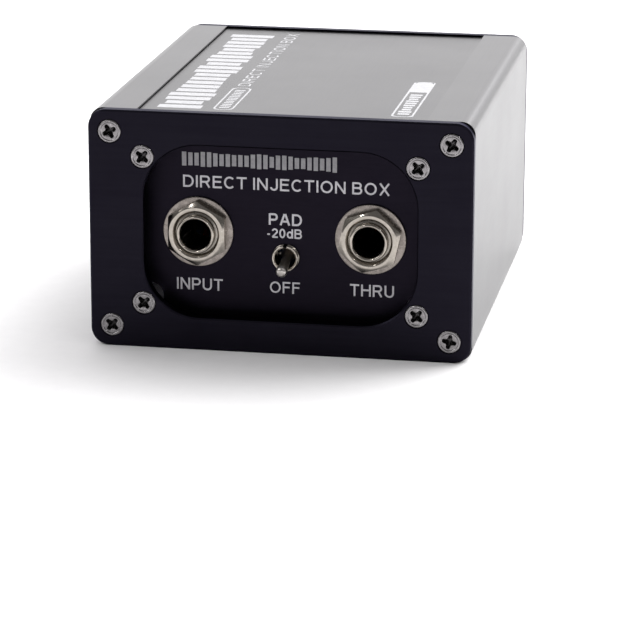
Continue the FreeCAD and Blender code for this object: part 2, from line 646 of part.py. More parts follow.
def electronics():
    end = board_half_length()
    board = box(-BOARD_W / 2, -end, BOARD_Z, BOARD_W / 2, end, BOARD_TOP)
    can = post(CAN_R, 0, CAN_Y, BOARD_TOP, BOARD_TOP + CAN_HEIGHT)
    can = can.makeFillet(1.5, [can.Edges[0]])
    can = can.cut(post(CAN_R - 1.0, 0, CAN_Y, BOARD_TOP - 1, BOARD_TOP + CAN_HEIGHT - 1.5))
    keep("transformer_can", can)
    coil = post(CAN_R - 2.0, 0, CAN_Y, BOARD_TOP + 1.0, BOARD_TOP + CAN_HEIGHT - 3.0)
    keep("transformer_coil", coil)
    reach = CLAMP_SCREW_X + 3.0
    foot = on_board(-reach, CAN_Y - 3.5, reach, CAN_Y + 3.5, 0.8)
    ring = post(CAN_R + 1.0, 0, CAN_Y, BOARD_TOP, BOARD_TOP + 6)
    clamp = foot.fuse(ring).cut(post(CAN_R + GAP, 0, CAN_Y, 0, HEIGHT))
    for x in (-CLAMP_SCREW_X, CLAMP_SCREW_X):
        clamp = clamp.cut(post(SCREW_HOLE_R, x, CAN_Y, 0, HEIGHT))
    keep("transformer_clamp", clamp)
    clamp_screws = []
    for x in (-CLAMP_SCREW_X, CLAMP_SCREW_X):
        head = post(SCREW_HEAD_R, x, CAN_Y, BOARD_TOP + 0.8, BOARD_TOP + 2.6)
        head = head.cut(post(1.2, x, CAN_Y, BOARD_TOP + 1.8, BOARD_TOP + 3))
        clamp_screws.append(head.fuse(post(SCREW_R, x, CAN_Y, BOARD_Z - 2.0, BOARD_TOP + 0.8)))
    keep("transformer_clamp_screws", *clamp_screws)
    for x in (-CLAMP_SCREW_X, CLAMP_SCREW_X):
        board = board.cut(post(1.55, x, CAN_Y, 0, HEIGHT))
    keep("main_board", board)

    resistors = []
    radius, length = RESISTOR
    for k in range(6):
        start = V(-33, -14 + RESISTOR_PITCH * k, BOARD_TOP + radius)
        resistors.append(Part.makeCylinder(radius, length, start, V(1, 0, 0)))
    keep("resistors", *resistors)

    radius, height = CAPACITOR
    capacitors = [post(radius, 27, y, BOARD_TOP, BOARD_TOP + height) for y in CAPACITOR_PLACES]
    keep("electrolytic_capacitors", *capacitors)
    keep("film_capacitors", on_board(24, 13, 33, 17, 8), on_board(-33, 22, -24, 26, 8))
    keep("driver_chip", on_board(-23, 12, -13.5, 18.5, 3.4))


# ---------------------------------------------------------------- wiring
def bent_wire(start, corner, finish):
    """A round wire: straight, one tangent arc as large as its runs allow, straight."""
    a = start - corner
    b = finish - corner
    reach = 0.45 * min(a.Length, b.Length)
    p = corner + V(a).normalize() * reach
    q = corner + V(b).normalize() * reach
    centre = p + V(b).normalize() * reach
    mid = centre + (corner - centre).normalize() * reach
    path = Part.Wire([Part.LineSegment(start, p).toShape(), Part.Arc(p, mid, q).toShape(),
                      Part.LineSegment(q, finish).toShape()])
    section = Part.Wire(Part.Circle(start, a.normalize(), WIRE_R).toShape())
    return path.makePipeShell([section], True, True)


def wiring():
    jack_wires = []
    spring_end = -PANEL_BACK + JACK_SPRING_END
    for side in (-1, 1):
        x = side * (JACK_X + JACK_PLATE_HALF - JACK_PLATE_T - 1.6)
        start = V(x, spring_end + 0.3, JACK_Z)
        corner = V(x, spring_end + 6, JACK_Z)
        jack_wires.append(bent_wire(start, corner, V(x, spring_end + 6, BOARD_TOP)))
    keep("input_wiring", *jack_wires)

    back = XLR_REAR - XLR_TAIL
    output_wires = []
    for k, (x, z) in enumerate(pin_places(-XLR_X, XLR_Z)):
        y = back - 0.3
        drop = y - 4.0 - 1.8 * k
        output_wires.append(bent_wire(V(-x, y, z), V(-x, drop, z), V(-x, drop, BOARD_TOP)))
    keep("output_wiring", *output_wires)


def main():
    enclosure()
    jack("input_jack", -JACK_X, -1)
    jack("thru_jack", JACK_X, 1)
    toggle("pad_switch", PAD_TOGGLE_X, lambda s: s)
    toggle("ground_switch", -GROUND_TOGGLE_X, to_output_end)
    slide_switch()
    indicator()
    receptacle()
    panels()
    electronics()
    wiring()
    os.makedirs("parts", exist_ok=True)
    for name, shape in NODES.items():
        if not shape.isValid():
            print("not valid:", name)
        shape.exportStep(os.path.join("parts", name + ".step"))
    print(len(NODES), "nodes")


main()
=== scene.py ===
import json
import math
import random

import bmesh
import bpy
from mathutils import Matrix, Vector


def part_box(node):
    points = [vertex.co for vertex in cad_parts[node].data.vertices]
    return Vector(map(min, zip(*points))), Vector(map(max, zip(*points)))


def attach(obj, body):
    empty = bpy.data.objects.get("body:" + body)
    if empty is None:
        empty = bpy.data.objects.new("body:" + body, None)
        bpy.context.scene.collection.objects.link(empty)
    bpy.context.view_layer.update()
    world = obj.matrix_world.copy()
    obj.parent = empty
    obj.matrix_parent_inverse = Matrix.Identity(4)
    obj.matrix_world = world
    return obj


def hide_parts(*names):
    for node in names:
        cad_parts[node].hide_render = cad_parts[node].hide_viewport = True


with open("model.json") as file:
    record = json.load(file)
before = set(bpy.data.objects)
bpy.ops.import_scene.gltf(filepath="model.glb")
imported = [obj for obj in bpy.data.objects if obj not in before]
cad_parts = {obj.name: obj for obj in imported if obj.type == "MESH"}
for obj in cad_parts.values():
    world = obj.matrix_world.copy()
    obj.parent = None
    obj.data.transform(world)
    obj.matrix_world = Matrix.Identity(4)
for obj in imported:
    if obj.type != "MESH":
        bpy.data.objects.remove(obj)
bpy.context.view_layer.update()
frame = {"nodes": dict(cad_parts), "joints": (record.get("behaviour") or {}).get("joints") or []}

MM = 0.001
TAU = 2 * math.pi
BODY = "chassis"
random.seed(11)
scene = bpy.context.scene


# ---------------------------------------------------------------- material nodes
def start_material(name):
    material = bpy.data.materials.new(name)
    material.use_nodes = True
    return material, material.node_tree, material.node_tree.nodes["Principled BSDF"]


def noise(tree, per_mm, detail=3.0, stretch=(1, 1, 1), roughness=0.55):
    """Noise in object space with about per_mm features in each millimetre."""
    place = tree.nodes.new("ShaderNodeTexCoord")
    scale = tree.nodes.new("ShaderNodeMapping")
    scale.inputs["Scale"].default_value = [s / MM for s in stretch]
    texture = tree.nodes.new("ShaderNodeTexNoise")
    texture.inputs["Scale"].default_value = per_mm
    texture.inputs["Detail"].default_value = detail
    texture.inputs["Roughness"].default_value = roughness
    tree.links.new(place.outputs["Object"], scale.inputs["Vector"])
    tree.links.new(scale.outputs["Vector"], texture.inputs["Vector"])
    return texture.outputs["Fac"]


def remap(tree, value, low, high, from_low=0.3, from_high=0.7):
    node = tree.nodes.new("ShaderNodeMapRange")
    node.inputs["From Min"].default_value = from_low
    node.inputs["From Max"].default_value = from_high
    node.inputs["To Min"].default_value = low
    node.inputs["To Max"].default_value = high
    tree.links.new(value, node.inputs["Value"])
    return node.outputs["Result"]


def combine(tree, operation, a, b):
    node = tree.nodes.new("ShaderNodeMath")
    node.operation = operation
    for socket, value in zip(node.inputs, (a, b)):
        if isinstance(value, (int, float)):
            socket.default_value = value
        else:
            tree.links.new(value, socket)
    return node.outputs["Value"]


def blend_colours(tree, factor, first, second):
    node = tree.nodes.new("ShaderNodeMix")
    node.data_type = "RGBA"
    tree.links.new(factor, node.inputs["Factor"])
    for socket, value in (("A", first), ("B", second)):
        target = [i for i in node.inputs if i.name == socket and i.type == "RGBA"][0]
        if isinstance(value, tuple):
            target.default_value = (*value, 1.0)
        else:
            tree.links.new(value, target)
    return [o for o in node.outputs if o.type == "RGBA"][0]


def surface(name, base, tone, metallic, rough, grain=6.0, grain_height=0.004, stretch=(1, 1, 1),
            patch=0.25, rough_spread=0.08, scratches=0.0, spots=0.0, crevice_shade=0.0, **sockets):
    """A finish with grain in the bump, patches in the roughness and two tones in the colour.
    The crevice strength paints shade into recesses and corners: close to other faces it darkens the colour
    and dims the reflection."""
    material, tree, shader = start_material(name)
    fine = noise(tree, grain, 4.0, stretch)
    broad = noise(tree, patch, 3.0)
    middle = noise(tree, grain * 0.25, 3.0, stretch)
    mixed = combine(tree, "ADD", combine(tree, "MULTIPLY", broad, 0.55),
                    combine(tree, "MULTIPLY", middle, 0.45))
    colour = blend_colours(tree, remap(tree, mixed, 0.0, 1.0), base, tone)
    roughness = combine(tree, "ADD", remap(tree, broad, rough - rough_spread, rough + rough_spread),
                        remap(tree, fine, -0.5 * rough_spread, 0.5 * rough_spread))
    height = fine
    if scratches:
        lines = noise(tree, grain * 0.5, 2.0, (stretch[0] * 0.06, stretch[1], stretch[2] * 2.2))
        marks = remap(tree, lines, 0.0, scratches, 0.62, 0.7)
        height = combine(tree, "SUBTRACT", height, marks)
        roughness = combine(tree, "ADD", roughness, combine(tree, "MULTIPLY", marks, 0.15))
    if spots:
        specks = remap(tree, noise(tree, 1.6, 1.0), 0.0, spots, 0.68, 0.74)
        colour = blend_colours(tree, specks, colour, tuple(min(1.0, 3 * c + 0.02) for c in tone))
    if crevice_shade:
        # painted shade: occlusion within the object darkens the colour towards near-black, raises the
        # roughness and dims the reflection in recesses and corners
        closeness = tree.nodes.new("ShaderNodeAmbientOcclusion")
        closeness.samples = 12
        closeness.only_local = True
        closeness.inputs["Distance"].default_value = 1.2 * MM
        painted_shade = remap(tree, closeness.outputs["AO"], crevice_shade, 0.0, 0.45, 0.9)
        colour = blend_colours(tree, painted_shade, colour, (0.003, 0.003, 0.0035))
        roughness = combine(tree, "ADD", roughness, combine(tree, "MULTIPLY", painted_shade, 0.5))
        sheen = combine(tree, "SUBTRACT", 1.0, combine(tree, "MULTIPLY", painted_shade, 0.95))
        tree.links.new(sheen, shader.inputs["Specular Tint"])
    bump = tree.nodes.new("ShaderNodeBump")
    bump.inputs["Strength"].default_value = 0.6
    bump.inputs["Distance"].default_value = grain_height * MM
    tree.links.new(height, bump.inputs["Height"])
    tree.links.new(bump.outputs["Normal"], shader.inputs["Normal"])
    tree.links.new(colour, shader.inputs["Base Color"])
    tree.links.new(roughness, shader.inputs["Roughness"])
    shader.inputs["Metallic"].default_value = metallic
    for socket, value in sockets.items():
        shader.inputs[socket.replace("_", " ")].default_value = value
    return material


ALONG_BOX = (1.0, 0.02, 1.0)
ACROSS_BOX = (0.04, 1.0, 1.0)

looks = {
    "body_anodised": surface("body_anodised", (0.040, 0.039, 0.042), (0.046, 0.045, 0.048), 1.0, 0.29,
                             grain=5.0, grain_height=0.003, stretch=ALONG_BOX,
                             patch=0.05, rough_spread=0.01),
    "cover_anodised": surface("cover_anodised", (0.034, 0.033, 0.036), (0.041, 0.040, 0.043), 1.0, 0.30,
                              grain=4.0, grain_height=0.004, stretch=ALONG_BOX,
                              patch=0.05, rough_spread=0.012),
    "bezel_anodised": surface("bezel_anodised", (0.0085, 0.0075, 0.012), (0.012, 0.011, 0.0165), 1.0, 0.34,
                              grain=6.0, grain_height=0.004, stretch=ACROSS_BOX,
                              patch=0.1, rough_spread=0.04, scratches=0.2,
                              Specular_Tint=(0.55, 0.55, 0.6, 1.0)),
    "panel_black": surface("panel_black", (0.009, 0.0075, 0.012), (0.0125, 0.0105, 0.016), 1.0, 0.42,
                           grain=7.0, grain_height=0.005, stretch=(0.1, 1, 1),
                           patch=0.12, rough_spread=0.05),
    # the screws and the nickel plate carry painted shade in their recesses and corners through the crevice
    # strength
    "screw_nickel": surface("screw_nickel", (0.27, 0.26, 0.265), (0.20, 0.19, 0.195), 1.0, 0.22,
                            grain=9.0, grain_height=0.006, patch=1.2, rough_spread=0.1, spots=0.3,
                            crevice_shade=0.95),
    "spacer_aluminium": surface("spacer_aluminium", (0.88, 0.87, 0.86), (0.74, 0.73, 0.73), 1.0, 0.36,
                                grain=8.0, grain_height=0.006, stretch=(1, 0.1, 1), patch=0.8),
    "nickel_plate": surface("nickel_plate", (0.42, 0.385, 0.34), (0.30, 0.275, 0.245), 1.0, 0.15,
                            grain=8.0, grain_height=0.004, patch=0.9, rough_spread=0.06, spots=0.15,
                            crevice_shade=0.7),
    "fibre_board": surface("fibre_board", (0.030, 0.016, 0.010), (0.05, 0.027, 0.016), 0.0, 0.6,
                           grain=10.0, grain_height=0.02, stretch=(1, 1, 0.2), patch=0.6),
    "spring_silver": surface("spring_silver", (0.75, 0.73, 0.68), (0.62, 0.60, 0.55), 1.0, 0.22,
                             grain=8.0, grain_height=0.004, stretch=(1, 0.1, 1), patch=0.7),
    "switch_case_blue": surface("switch_case_blue", (0.02, 0.05, 0.22), (0.03, 0.07, 0.28), 0.0, 0.4,
                                grain=6.0, grain_height=0.01, patch=0.5),
    "tinned_terminal": surface("tinned_terminal", (0.68, 0.68, 0.68), (0.52, 0.52, 0.53), 1.0, 0.34,
                               grain=5.0, grain_height=0.012, patch=1.0, rough_spread=0.12),
    "knob_black": surface("knob_black", (0.006, 0.006, 0.007), (0.010, 0.0095, 0.011), 0.0, 0.42,
                          grain=8.0, grain_height=0.01, patch=0.6, Specular_IOR_Level=0.1),
    "insert_black": surface("insert_black", (0.004, 0.004, 0.0045), (0.007, 0.0065, 0.007), 0.0, 0.38,
                            grain=6.0, grain_height=0.006, patch=0.4, Specular_IOR_Level=0.08),
    "pin_gold": surface("pin_gold", (0.92, 0.60, 0.22), (0.80, 0.48, 0.16), 1.0, 0.2,
                        grain=8.0, grain_height=0.003, patch=0.9),
    "circuit_board": surface("circuit_board", (0.012, 0.09, 0.035), (0.02, 0.13, 0.05), 0.0, 0.32,
                             grain=3.0, grain_height=0.02, patch=0.35, spots=0.6),
    "shield_can": surface("shield_can", (0.55, 0.55, 0.57), (0.42, 0.42, 0.44), 1.0, 0.3,
                          grain=6.0, grain_height=0.006, stretch=(1, 1, 0.05), patch=0.3),
    "coil_tape": surface("coil_tape", (0.55, 0.42, 0.06), (0.66, 0.50, 0.09), 0.0, 0.3,
                         grain=3.0, grain_height=0.01, stretch=(0.2, 0.2, 1), patch=0.4),
    "resistor_body": surface("resistor_body", (0.12, 0.30, 0.46), (0.16, 0.36, 0.52), 0.0, 0.35,
                             grain=6.0, grain_height=0.01, patch=0.8),
    "capacitor_sleeve": surface("capacitor_sleeve", (0.012, 0.014, 0.05), (0.018, 0.02, 0.07), 0.0, 0.28,
                                grain=4.0, grain_height=0.006, stretch=(1, 1, 0.1), patch=0.6),
    "film_block": surface("film_block", (0.45, 0.03, 0.02), (0.55, 0.05, 0.03), 0.0, 0.4,
                          grain=4.0, grain_height=0.01, patch=0.5),
    "chip_epoxy": surface("chip_epoxy", (0.012, 0.012, 0.012), (0.02, 0.02, 0.02), 0.0, 0.6,
                          grain=12.0, grain_height=0.02, patch=0.8),
    "wire_jacket": surface("wire_jacket", (0.35, 0.02, 0.02), (0.42, 0.03, 0.03), 0.0, 0.38,
                           grain=5.0, grain_height=0.006, patch=0.5),
    "clear_lens": surface("clear_lens", (0.12, 0.122, 0.126), (0.05, 0.051, 0.053), 0.0, 0.08,
                          grain=1.6, grain_height=0.05, patch=0.8, rough_spread=0.04,
                          Transmission_Weight=0.9, IOR=1.45),
}
print_ink = surface("print_ink", (0.62, 0.61, 0.64), (0.48, 0.47, 0.5), 0.0, 0.55,
                    grain=7.0, grain_height=0.01, patch=1.4, rough_spread=0.1)
# the washer carries painted shade in its recesses and corners through the crevice strength
washer_nickel = surface("washer_nickel", (0.27, 0.24, 0.22), (0.19, 0.17, 0.155), 1.0, 0.27,
                        grain=7.0, grain_height=0.008, patch=0.7, rough_spread=0.08, spots=0.2, crevice_shade=0.5)
lever_nickel = surface("lever_nickel", (0.55, 0.52, 0.49), (0.44, 0.415, 0.39), 1.0, 0.32,
                       grain=8.0, grain_height=0.004, patch=0.8, rough_spread=0.06)
# painted shade: a darker copy of the print ink for the output end's printing, standing for shade on that
# end
rear_ink_shaded = surface("rear_ink_shaded", (0.27, 0.265, 0.28), (0.20, 0.195, 0.21), 0.0, 0.6,
                   grain=7.0, grain_height=0.01, patch=1.4, rough_spread=0.1, Specular_IOR_Level=0.2)
logo_ink = surface("logo_ink", (0.34, 0.335, 0.35), (0.25, 0.245, 0.26), 0.0, 0.5,
                   grain=7.0, grain_height=0.01, patch=1.4, rough_spread=0.1)
cover_ink = surface("cover_ink", (0.44, 0.44, 0.455), (0.38, 0.38, 0.395), 0.0, 0.5,
                    grain=6.0, grain_height=0.01, patch=0.8, rough_spread=0.1)

for node in frame["nodes"].values():
    for k, material in enumerate(node.data.materials):
        node.data.materials[k] = looks[material.name.split(".")[0]]


# ---------------------------------------------------------------- mesh helpers, in millimetres
def soften(points, radius, steps=4, closed=False):
    """The outline with each corner rounded."""
    out, count = [], len(points)
    for i, point in enumerate(points):
        corner = Vector(point)
        if not closed and i in (0, count - 1):
            out.append(corner)
            continue
        before, after = Vector(points[i - 1]) - corner, Vector(points[(i + 1) % count]) - corner
        cut = min(radius, 0.45 * before.length, 0.45 * after.length)
        start, end = corner + before.normalized() * cut, corner + after.normalized() * cut
        for k in range(steps + 1):
            t = k / steps
            out.append((1 - t) ** 2 * start + 2 * t * (1 - t) * corner + t * t * end)
    return out


def skin(bm, rings, wrap=False):
    """Quads between neighbouring rings of the same count."""
    made = [[bm.verts.new([c * MM for c in point]) for point in ring] for ring in rings]
    pairs = list(zip(made, made[1:])) + ([(made[-1], made[0])] if wrap else [])
    for a, b in pairs:
        for i in range(len(a)):
            j = (i + 1) % len(a)
            bm.faces.new((a[i], a[j], b[j], b[i]))


def lathe(bm, profile, x, z, count=96, radius_at=None, wrap=False):
    """Turns (radius, y) points about the Y axis through (x, z). radius_at may shape a radius
    by its angle."""
    rings = []
    for radius, y in profile:
        ring = []
        for k in range(count):
            angle = TAU * k / count
            r = radius_at(radius, y, angle) if radius_at else radius
            ring.append((x + r * math.cos(angle), y, z + r * math.sin(angle)))
        rings.append(ring)
    skin(bm, rings, wrap)


def block(bm, low, high):
    corners = [[bm.verts.new([c * MM for c in (x, y, z)]) for x, y in
                ((low[0], low[1]), (high[0], low[1]), (high[0], high[1]), (low[0], high[1]))]
               for z in (low[2], high[2])]
    a, b = corners
    bm.faces.new(reversed(a))
    bm.faces.new(b)
    for i in range(4):
        j = (i + 1) % 4
        bm.faces.new((a[i], a[j], b[j], b[i]))


def tidy_mesh(bm, name):
    bmesh.ops.remove_doubles(bm, verts=bm.verts, dist=1e-7)
    bmesh.ops.recalc_face_normals(bm, faces=bm.faces)
    mesh = bpy.data.meshes.new(name)
    bm.to_mesh(mesh)
    bm.free()
    return mesh


def applied(obj):
    """The object's mesh with its modifiers applied; the object is removed."""
    graph = bpy.context.evaluated_depsgraph_get()
    mesh = bpy.data.meshes.new_from_object(obj.evaluated_get(graph))
    bpy.data.objects.remove(obj)
    return mesh


def temporary(name, mesh):
    obj = bpy.data.objects.new(name, mesh)
    scene.collection.objects.link(obj)
    return obj


def bevelled(mesh, width, segments=2, angle=40):
    obj = temporary("bevelling", mesh)
    modifier = obj.modifiers.new("edges", "BEVEL")
    modifier.width = width * MM
    modifier.segments = segments
    modifier.limit_method = "ANGLE"
    modifier.angle_limit = math.radians(angle)
    modifier.harden_normals = False
    return applied(obj)


def cut_from(mesh, cutter_mesh):
    obj, cutter = temporary("cutting", mesh), temporary("cutter", cutter_mesh)
    modifier = obj.modifiers.new("cut", "BOOLEAN")
    modifier.operation = "DIFFERENCE"
    modifier.solver = "EXACT"
    modifier.object = cutter
    mesh = applied(obj)
    bpy.data.objects.remove(cutter)
    return mesh


def piece(name, mesh, slot, stands_for=(), body=BODY, material=None, sharp=38):
    mesh.name = name
    obj = bpy.data.objects.new(name, mesh)
    scene.collection.objects.link(obj)
    mesh.materials.clear()
    mesh.materials.append(material or looks[slot])
    mesh.shade_smooth()
    mesh.set_sharp_from_angle(angle=math.radians(sharp))
    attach(obj, body)
    if stands_for:
        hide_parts(*stands_for)
    return obj


def in_mm(node):
    low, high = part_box(node)
    return low / MM, high / MM


def centre_of(node):
    low, high = in_mm(node)
    return (low + high) / 2


def copies(mesh, transforms):
    bm = bmesh.new()
    for transform in transforms:
        part = mesh.copy()
        part.transform(transform)
        bm.from_mesh(part)
        bpy.data.meshes.remove(part)
    joined = bpy.data.meshes.new("joined")
    bm.to_mesh(joined)
    bm.free()
    return joined


def at(x, y, z, turn=0.0, facing=-1):
    """Places a piece made at the origin facing -Y; facing +1 turns it to the other end."""
    move = Matrix.Translation(Vector((x, y, z)) * MM)
    if facing > 0:
        move = move @ Matrix.Rotation(math.pi, 4, "Z")
    return move @ Matrix.Rotation(math.radians(turn), 4, "Y")


# ---------------------------------------------------------------- screws
SCREW_HEAD_R = 2.6
SCREW_SHANK_R = 1.4
SCREW_HEAD_H = 1.35
THREAD_PITCH = 0.5


def cross_cutter(reach, half, depth):
    """A tapered cross with rounded arm ends, for a driver recess."""
    outline = []
    for k in range(4):
        turn = Matrix.Rotation(k * math.pi / 2, 2)
        for point in ((reach, -half * 0.9), (reach, half * 0.9), (half * 1.2, half * 1.2)):
            outline.append(turn @ Vector(point))
    outline = soften(outline, half * 0.8, 3, closed=True)
    sections = ((-0.2, 1.02), (0.0, 1.0), (depth * 0.65, 0.9), (depth, 0.55))
    rings = [[(p.x * scale, y, p.y * scale) for p in outline] for y, scale in sections]
    rings.insert(0, [(0.0, -0.2, 0.0)] * len(outline))
    rings.append([(0.0, depth * 1.15, 0.0)] * len(outline))
    bm = bmesh.new()
    skin(bm, rings)
    return tidy_mesh(bm, "cross")


def screw_mesh(length):
    """A countersunk screw with its head's face at y 0, pointing to -Y, and a threaded shank."""
    radius, shank, head = SCREW_HEAD_R, SCREW_SHANK_R, SCREW_HEAD_H
    bm = bmesh.new()
    profile = [(0.0, 0.1), (1.84, 0.1), (1.93, 0.14), (2.06, 0.02), (2.2, 0.0), (radius - 0.22, 0.02),
               (radius - 0.06, 0.12), (radius, 0.26), (shank + 0.1, head)]
    profile = soften(profile, 0.06, 3)
    y = head + 0.2
    while y < length - 0.8:
        profile += [Vector((shank - 0.2, y)), Vector((shank, y + 0.25))]
        y += THREAD_PITCH
    profile += [Vector((shank - 0.3, length - 0.3)), Vector((shank - 0.7, length)), Vector((0.0, length))]
    lathe(bm, profile, 0, 0, 64)
    return bevelled(cut_from(tidy_mesh(bm, "screw"), cross_cutter(1.66, 0.47, 2.0)), 0.1, 2, 50)


def screw_sets():
    long_screw, short_screw = screw_mesh(10.0), screw_mesh(9.0)
    edge = SCREW_HEAD_R
    turns = {"corner": (40, 62, 12, 32), "panel": (48, 40, 40, 52)}
    for end, facing in (("input", -1), ("output", 1)):
        for kind, mesh in (("corner", long_screw), ("panel", short_screw)):
            node = f"{end}_{kind}_screws"
            low, high = in_mm(node)
            face = low.y if facing < 0 else high.y
            places = [(x, z) for x in (low.x + edge, high.x - edge) for z in (low.z + edge, high.z - edge)]
            spots = [at(x, face, z, t, facing) for (x, z), t in zip(places, turns[kind])]
            piece(node + "_turned", copies(mesh, spots), "screw_nickel", [node])
    low, high = in_mm("receptacle_screws")
    face = in_mm("output_panel")[1].y
    spots = [at(high.x - edge, face, high.z - edge, 2, 1), at(low.x + edge, face, low.z + edge, 28, 1)]
    piece("receptacle_screws_turned", copies(screw_mesh(7.5), spots), "screw_nickel", ["receptacle_screws"])


# ---------------------------------------------------------------- jacks
NUT_ACROSS_FLATS = 12.7
NUT_BORE_R = 4.84
NUT_CONE_R = 6.05           # where the cone that cuts the nut's corners starts
JACK_BORE_R = 3.25
JACK_LIP_R = 4.32
JACK_THREAD_R = 4.76
JACK_ROOT_R = 4.5


def nut_rings(x, z, turn, face, back):
    """A hexagon nut whose front corners are turned to a cone."""
    flat_r, cone_r, slope, count = NUT_ACROSS_FLATS / 2, NUT_CONE_R, 0.55, 216
    angles = [TAU * k / count for k in range(count)]
    edge = []
    for angle in angles:
        sector = (angle - math.radians(turn) + math.pi / 6) % (math.pi / 3) - math.pi / 6
        edge.append(min(flat_r / math.cos(sector), flat_r / math.cos(math.pi / 6) - 0.12))
    bore = [(NUT_BORE_R, back), (NUT_BORE_R, face + 0.45), (5.2, face + 0.05), (5.32, face),
            (cone_r - 0.2, face), (cone_r, face + 0.01)]
    rings = [[point] * count for point in bore]
    for k in range(1, 7):
        rings.append([(cone_r + (e - cone_r) * k / 6, face + 0.01 + (e - cone_r) * k / 6 * slope)
                      for e in edge])
    for share in (0.04, 0.5, 0.95):
        rings.append([(e, (1 - share) * (face + (e - cone_r) * slope) + share * back) for e in edge])
    rings += [[(e - 0.12, back) for e in edge], [(5.0, back)] * count]
    return [[(x + r * math.cos(a), y, z + r * math.sin(a)) for (r, y), a in zip(ring, angles)]
            for ring in rings]


def jack(prefix, nut_turn):
    washer_low, washer_high = in_mm(prefix + "_washer")
    nut_low, nut_high = in_mm(prefix + "_nut")
    frame_low, frame_high = in_mm(prefix + "_frame")
    x, z = centre_of(prefix + "_washer").x, centre_of(prefix + "_washer").z
    outer = washer_high.x - x

    bm = bmesh.new()
    profile = soften([(4.9, washer_high.y), (4.9, washer_low.y),
                      (outer, washer_low.y), (outer, washer_high.y)], 0.18, 4, closed=True)
    lathe(bm, profile, x, z, 128, wrap=True)
    piece(prefix + "_plain_washer", tidy_mesh(bm, "washer"), "nickel_plate", [prefix + "_washer"],
          material=washer_nickel)

    bm = bmesh.new()
    face, back = nut_low.y, nut_high.y
    skin(bm, nut_rings(x, z, nut_turn, face, back), wrap=True)
    piece(prefix + "_hex_nut", tidy_mesh(bm, "nut"), "nickel_plate", [prefix + "_nut"], sharp=28)

    bm = bmesh.new()
    mouth, plate = frame_low.y, in_mm("input_panel")[1].y
    bore, crest, root = JACK_BORE_R, JACK_THREAD_R, JACK_ROOT_R
    profile = [(bore, plate + 6.0), (bore, mouth + 0.75), (3.62, mouth + 0.12), (3.9, mouth),
               (4.15, mouth + 0.1), (JACK_LIP_R, mouth + 0.45), (JACK_LIP_R, mouth + 1.5)]
    profile = soften(profile, 0.16, 3)
    y = mouth + 1.6
    while y < plate:
        profile += [Vector((crest, y)), Vector((crest, y + 0.12)),
                    Vector((root, y + 0.36)), Vector((root, y + 0.44))]
        y += 0.6
    profile += [Vector((4.7, plate)), Vector((4.7, plate + 5.9)), Vector((bore, plate + 6.0))]
    lathe(bm, profile, x, z, 128)
    bushing = tidy_mesh(bm, "bushing")
    side = -1 if "input" in prefix else 1
    bm = bmesh.new()
    block(bm, (x - 8, plate + 0.02, z - 8), (x + 8, plate + 1.6, z + 8))
    leg = sorted((x + side * 8, x + side * 6.4))
    block(bm, (leg[0], plate + 1.55, z - 5), (leg[1], plate + 13, z + 5))
    hole = bmesh.new()
    lathe(hole, [(0.0, plate - 1), (3.3, plate - 1), (3.3, plate + 3), (0.0, plate + 3)], x, z, 64)
    bracket = cut_from(bevelled(tidy_mesh(bm, "bracket"), 0.3), tidy_mesh(hole, "hole"))
    piece(prefix + "_bushing_frame", copies_of([bushing, bracket]), "nickel_plate", [prefix + "_frame"])


def copies_of(meshes):
    bm = bmesh.new()
    for mesh in meshes:
        bm.from_mesh(mesh)
    joined = bpy.data.meshes.new("joined")
    bm.to_mesh(joined)
    bm.free()
    return joined


# ---------------------------------------------------------------- toggle switches
TOGGLE_BORE_R = 2.25
TOGGLE_LEAN = 12.5          # degrees, from the middle
LEVER_TIP = -9.8            # from the pivot
BALL_R = 1.7


def keyed_radius(half_width, floor_radius):
    def radius(r, y, angle):
        offset = abs((angle - math.pi / 2 + math.pi) % TAU - math.pi)
        return min(r, floor_radius) if r * math.sin(min(offset, 1.5)) < half_width and offset < 0.5 else r
    return radius


